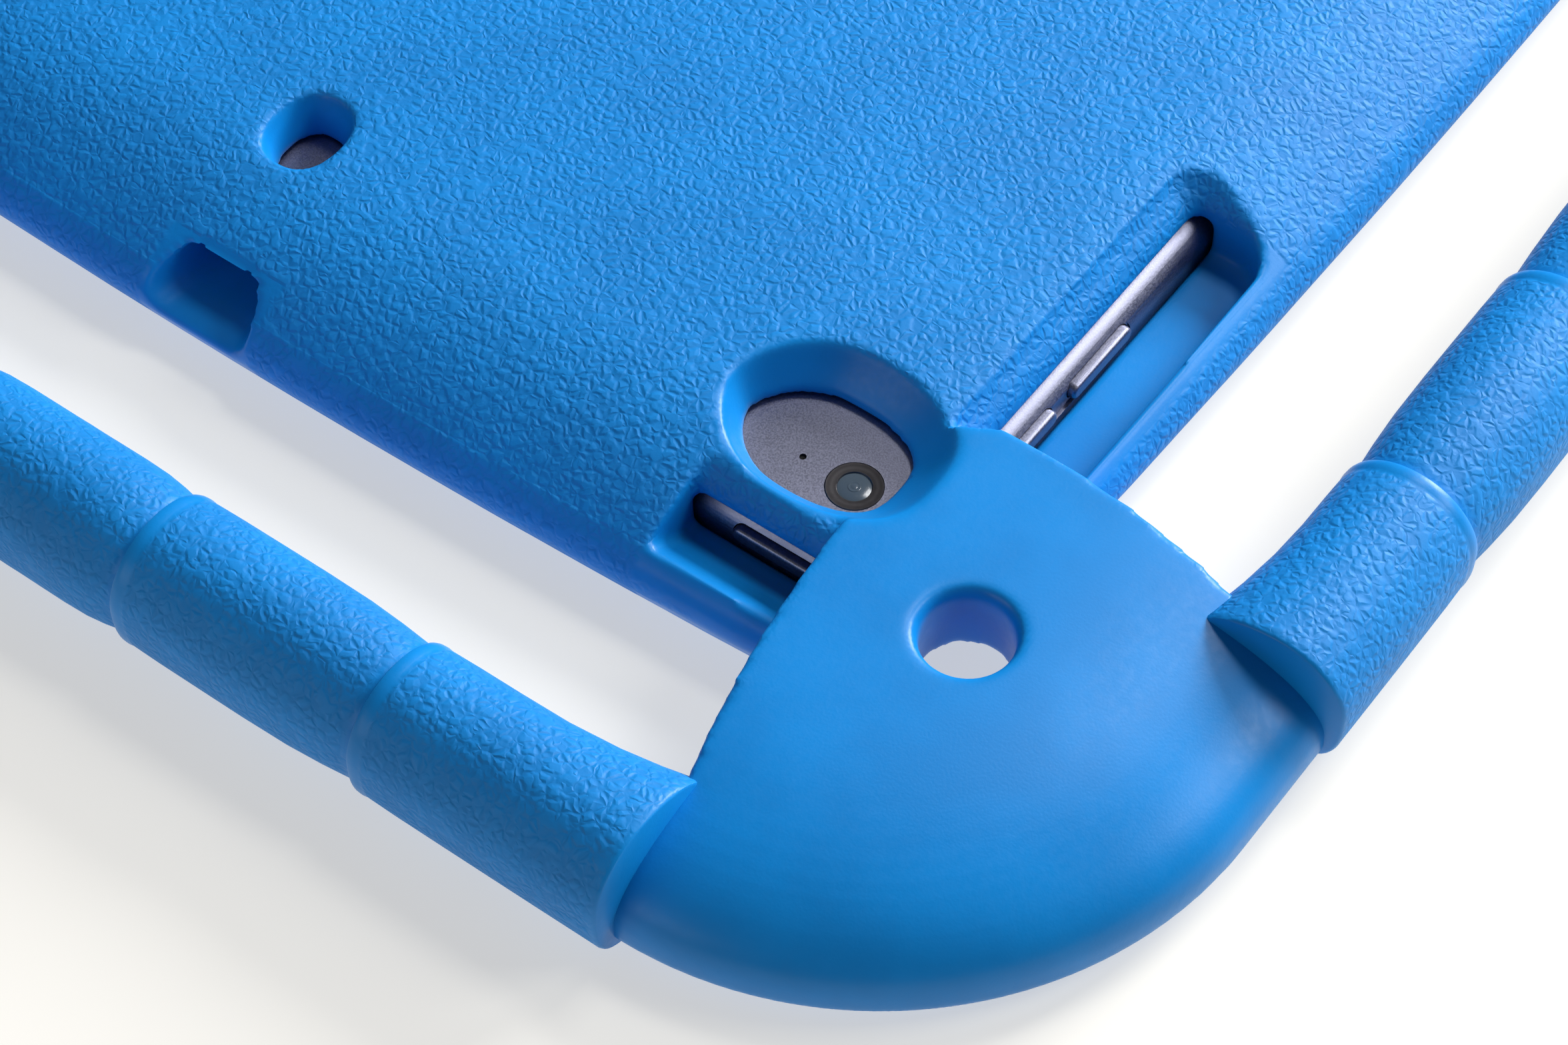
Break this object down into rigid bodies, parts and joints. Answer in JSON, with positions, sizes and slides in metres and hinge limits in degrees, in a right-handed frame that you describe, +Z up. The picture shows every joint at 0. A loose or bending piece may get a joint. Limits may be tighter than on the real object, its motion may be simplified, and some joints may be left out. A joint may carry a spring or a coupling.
{
  "type": "tablet case",
  "caption": "Moulded foam case for a 9.7 inch tablet, with a grip bar along each side, holed corner guards and button slots, tablet fitted.",
  "frame": {"origin": "on the surface that the case lies on, under the middle of the case, which lies on its face with its back up", "axes": "+Z up out of the case's back; +Y along the long side, towards the tablet's home button end; +X towards the side with the volume buttons"},
  "size_m": [0.2707, 0.3432, 0.018],
  "materials": {
    "eva_foam": "matte",
    "eva_foam_smooth": "satin",
    "tablet_aluminium": "satin",
    "front_glass": "gloss",
    "lcd_panel": "satin",
    "battery_pouch": "satin",
    "circuit_board": "satin",
    "black_plastic": "matte",
    "camera_ring_metal": "satin",
    "camera_window_glass": "gloss",
    "black_mesh": "matte",
    "socket_steel": "satin",
    "button_glass": "gloss"
  },
  "bodies": {
    "case": {"back_panel": "eva_foam", "side_walls": "eva_foam", "front_lip": "eva_foam", "corner_guard_camera": "eva_foam_smooth", "corner_guard_jack": "eva_foam_smooth", "corner_guard_bottom_left": "eva_foam_smooth", "corner_guard_bottom_right": "eva_foam_smooth", "grip_bar_top": "eva_foam", "grip_bar_bottom": "eva_foam", "grip_bar_volume_side": "eva_foam", "grip_bar_plain_side": "eva_foam"},
    "tablet": {"tablet_housing": "tablet_aluminium", "display_glass": "front_glass", "display_panel": "lcd_panel", "battery_cells": "battery_pouch", "logic_board": "circuit_board", "rear_camera_module": "black_plastic", "rear_camera_ring": "camera_ring_metal", "rear_camera_window": "camera_window_glass", "rear_camera_lens": "camera_window_glass", "rear_microphone": "black_mesh", "front_camera": "camera_window_glass", "charging_socket": "socket_steel", "headphone_socket": "black_plastic", "speaker_modules": "black_plastic"},
    "home_button": {"home_button": "button_glass"},
    "power_button": {"power_button": "tablet_aluminium"},
    "volume_up_button": {"volume_up_button": "tablet_aluminium"},
    "volume_down_button": {"volume_down_button": "tablet_aluminium"}
  },
  "joints": [
    {"name": "tablet_slide", "type": "slide", "parent": "case", "child": "tablet", "axis": [0, 0, -1], "range_m": [0, 0.03], "deforming": ["front_lip"]},
    {"name": "home_press", "type": "slide", "parent": "tablet", "child": "home_button", "axis": [0, 0, 1], "range_m": [0, 0.0003], "stiffness_N_per_m": 3000},
    {"name": "power_press", "type": "slide", "parent": "tablet", "child": "power_button", "axis": [0, 1, 0], "range_m": [0, 0.0003], "stiffness_N_per_m": 3000},
    {"name": "volume_up_press", "type": "slide", "parent": "tablet", "child": "volume_up_button", "axis": [-1, 0, 0], "range_m": [0, 0.0003], "stiffness_N_per_m": 3000},
    {"name": "volume_down_press", "type": "slide", "parent": "tablet", "child": "volume_down_button", "axis": [-1, 0, 0], "range_m": [0, 0.0003], "stiffness_N_per_m": 3000}
  ]
}
